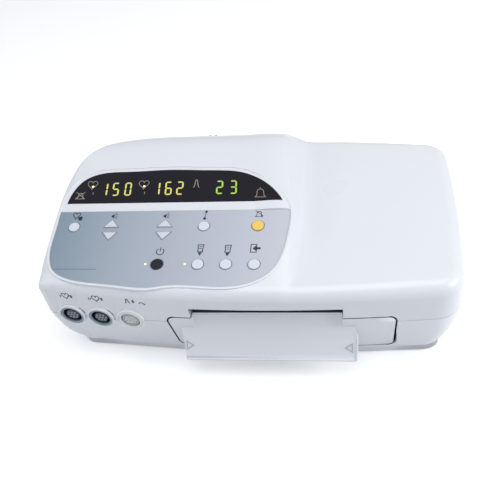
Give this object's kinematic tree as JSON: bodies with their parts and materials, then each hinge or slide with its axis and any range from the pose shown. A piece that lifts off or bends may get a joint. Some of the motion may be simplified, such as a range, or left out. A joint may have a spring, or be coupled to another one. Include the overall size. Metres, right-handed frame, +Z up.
{
  "type": "desktop cardiotocograph",
  "caption": "Desktop fetal heart and contraction monitor with digital displays, membrane-style keys, probe sockets and a chart paper drawer with printer.",
  "frame": {"origin": "middle of the footprint on the table, under the feet", "axes": "+X to the right, +Y to the back, +Z up, seen from the operator's side"},
  "size_m": [0.45, 0.2696, 0.1579],
  "materials": {
    "housing": "smooth white moulding",
    "overlay": "blue-grey printed film",
    "window": "clear dark smoke",
    "digits": "lit segments on a dark field",
    "lamps": "clear coloured lens",
    "key_white": "smooth",
    "key_yellow": "smooth",
    "key_grey": "smooth",
    "key_dark": "smooth",
    "rubber": "matt",
    "board": "laminate",
    "chip": "moulded",
    "socket_ring": "satin",
    "insert_teal": "moulded",
    "insert_cream": "moulded",
    "steel": "plated",
    "laminations": "stacked sheet",
    "winding": "taped copper coil",
    "black_plastic": "moulded",
    "brass": "turned",
    "nylon": "moulded gear wheel",
    "paper": "folded chart paper",
    "heatsink": "extruded",
    "can": "sleeved can",
    "cone": "pressed paper cone"
  },
  "bodies": {
    "casing": {"bottom_housing": "housing", "top_housing": "housing", "rear_panel": "steel", "rubber_feet": "rubber", "case_screws": "steel", "display_window": "window", "keypad_overlay": "overlay", "keypad_mat": "rubber", "display_board": "board", "digit_modules": "digits", "heart_lamps": "lamps", "status_lamps": "lamps", "heart_socket_1_shell": "socket_ring", "heart_socket_1_insert": "insert_teal", "heart_socket_2_shell": "socket_ring", "heart_socket_2_insert": "insert_teal", "uterine_socket_shell": "insert_cream", "uterine_socket_insert": "insert_cream", "socket_board": "board", "main_board": "board", "board_chips": "chip", "transformer_core": "laminations", "transformer_coil": "winding", "power_board": "board", "power_capacitors": "can", "speaker_frame": "steel", "speaker_cone": "cone", "mains_inlet": "black_plastic", "inlet_blades": "steel", "fuse_holder": "black_plastic", "bonding_post": "brass", "data_ports": "steel", "port_standoffs": "steel", "cable_hook": "black_plastic", "drawer_rails": "nylon", "drive_motor": "steel", "motor_bracket": "steel", "print_head": "heatsink", "print_head_bracket": "steel", "print_head_springs": "steel"},
    "drawer": {"drawer_front": "housing", "paper_tray": "nylon", "paper_pack": "paper", "platen_bushes": "brass"},
    "platen": {"platen_shaft": "steel", "platen_roller": "rubber", "platen_gear": "nylon"},
    "pinion": {"motor_pinion": "brass"},
    "test_key_body": {"test_key": "key_white"},
    "volume_up_key_1_body": {"volume_up_key_1": "key_grey"},
    "volume_down_key_1_body": {"volume_down_key_1": "key_grey"},
    "volume_up_key_2_body": {"volume_up_key_2": "key_grey"},
    "volume_down_key_2_body": {"volume_down_key_2": "key_grey"},
    "reference_key_body": {"reference_key": "key_white"},
    "alarm_silence_key_body": {"alarm_silence_key": "key_yellow"},
    "power_key_body": {"power_key": "key_dark"},
    "record_key_body": {"record_key": "key_white"},
    "paper_advance_key_body": {"paper_advance_key": "key_white"},
    "mark_key_body": {"mark_key": "key_white"}
  },
  "joints": [
    {"name": "drawer_slide", "type": "slide", "parent": "casing", "child": "drawer", "axis": [0, -1, 0], "range_m": [0, 0.095]},
    {"name": "platen_spin", "type": "hinge", "parent": "drawer", "child": "platen", "pos_m": [0.024, -0.0988, 0.074], "axis": [1, 0, 0], "continuous": true},
    {"name": "pinion_spin", "type": "hinge", "parent": "casing", "child": "pinion", "pos_m": [0.11, -0.08508, 0.074], "axis": [1, 0, 0], "continuous": true},
    {"name": "test_press", "type": "slide", "parent": "casing", "child": "test_key_body", "axis": [0, 0.1736, -0.9848], "range_m": [0, 0.0008], "stiffness_N_per_m": 400, "springref_m": -0.0006},
    {"name": "volume_up_1_press", "type": "slide", "parent": "casing", "child": "volume_up_key_1_body", "axis": [0, 0.1736, -0.9848], "range_m": [0, 0.0008], "stiffness_N_per_m": 400, "springref_m": -0.0006},
    {"name": "volume_down_1_press", "type": "slide", "parent": "casing", "child": "volume_down_key_1_body", "axis": [0, 0.1736, -0.9848], "range_m": [0, 0.0008], "stiffness_N_per_m": 400, "springref_m": -0.0006},
    {"name": "volume_up_2_press", "type": "slide", "parent": "casing", "child": "volume_up_key_2_body", "axis": [0, 0.1736, -0.9848], "range_m": [0, 0.0008], "stiffness_N_per_m": 400, "springref_m": -0.0006},
    {"name": "volume_down_2_press", "type": "slide", "parent": "casing", "child": "volume_down_key_2_body", "axis": [0, 0.1736, -0.9848], "range_m": [0, 0.0008], "stiffness_N_per_m": 400, "springref_m": -0.0006},
    {"name": "reference_press", "type": "slide", "parent": "casing", "child": "reference_key_body", "axis": [0, 0.1736, -0.9848], "range_m": [0, 0.0008], "stiffness_N_per_m": 400, "springref_m": -0.0006},
    {"name": "alarm_silence_press", "type": "slide", "parent": "casing", "child": "alarm_silence_key_body", "axis": [0, 0.1736, -0.9848], "range_m": [0, 0.0008], "stiffness_N_per_m": 400, "springref_m": -0.0006},
    {"name": "power_press", "type": "slide", "parent": "casing", "child": "power_key_body", "axis": [0, 0.1736, -0.9848], "range_m": [0, 0.0008], "stiffness_N_per_m": 400, "springref_m": -0.0006},
    {"name": "record_press", "type": "slide", "parent": "casing", "child": "record_key_body", "axis": [0, 0.1736, -0.9848], "range_m": [0, 0.0008], "stiffness_N_per_m": 400, "springref_m": -0.0006},
    {"name": "paper_advance_press", "type": "slide", "parent": "casing", "child": "paper_advance_key_body", "axis": [0, 0.1736, -0.9848], "range_m": [0, 0.0008], "stiffness_N_per_m": 400, "springref_m": -0.0006},
    {"name": "mark_press", "type": "slide", "parent": "casing", "child": "mark_key_body", "axis": [0, 0.1736, -0.9848], "range_m": [0, 0.0008], "stiffness_N_per_m": 400, "springref_m": -0.0006}
  ],
  "couplings": [
    {"joint": "pinion_spin", "follows": "platen_spin", "ratio": -1.4286}
  ]
}
